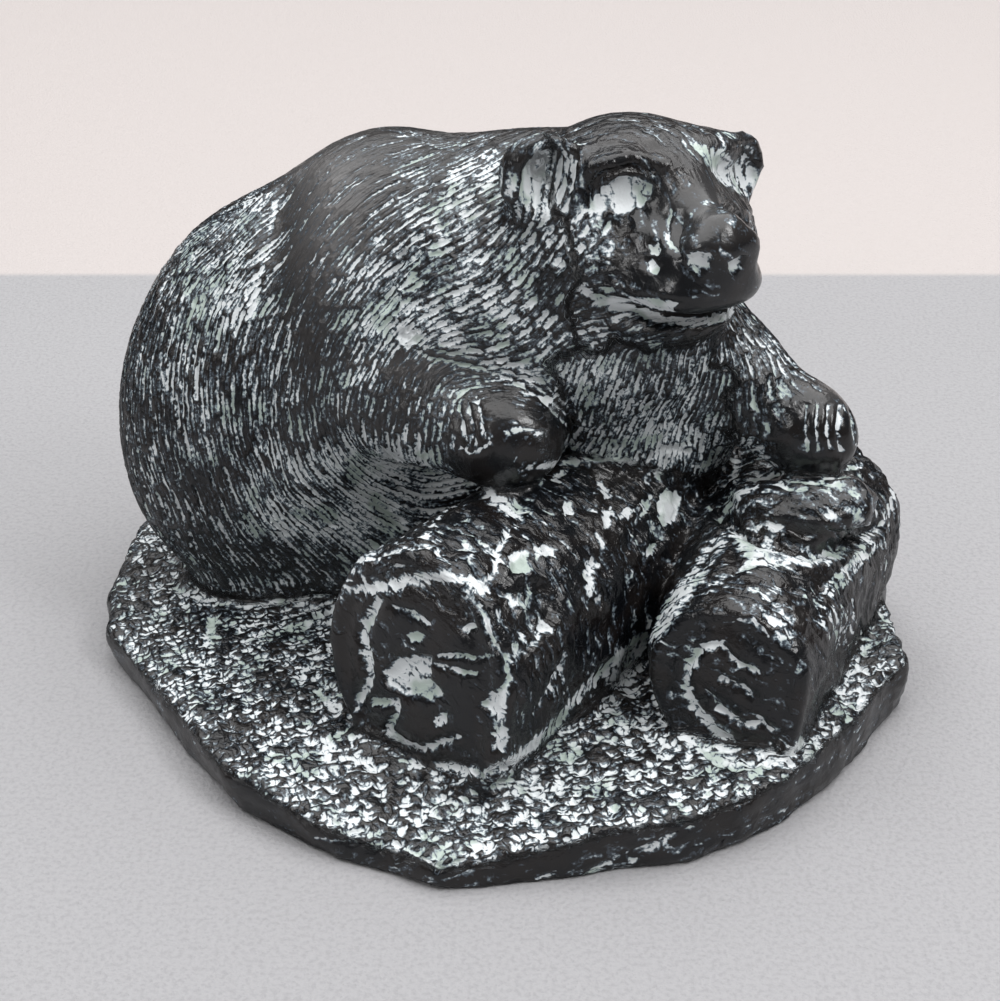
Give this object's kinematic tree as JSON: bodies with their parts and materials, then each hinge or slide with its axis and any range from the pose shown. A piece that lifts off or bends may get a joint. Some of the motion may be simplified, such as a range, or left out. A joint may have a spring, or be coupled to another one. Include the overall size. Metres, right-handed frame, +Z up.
{
  "type": "bear figurine",
  "caption": "One-piece cast figurine of a bear leaning its forelegs over cut log ends, on a chipped rock base that stands flat on a shelf.",
  "frame": {"origin": "middle of the rock base's bounding rectangle, on its flat underside", "axes": "+Z up, +X along the statue's length from the bear's rump towards its left forepaw, -Y towards the front with the cut log ends"},
  "size_m": [0.167, 0.1394, 0.1171],
  "materials": {
    "black_cast_stone": "glossy black with a matt grey-white wash in the hollows"
  },
  "bodies": {
    "root": {"bear_statue": "black_cast_stone"}
  },
  "joints": []
}
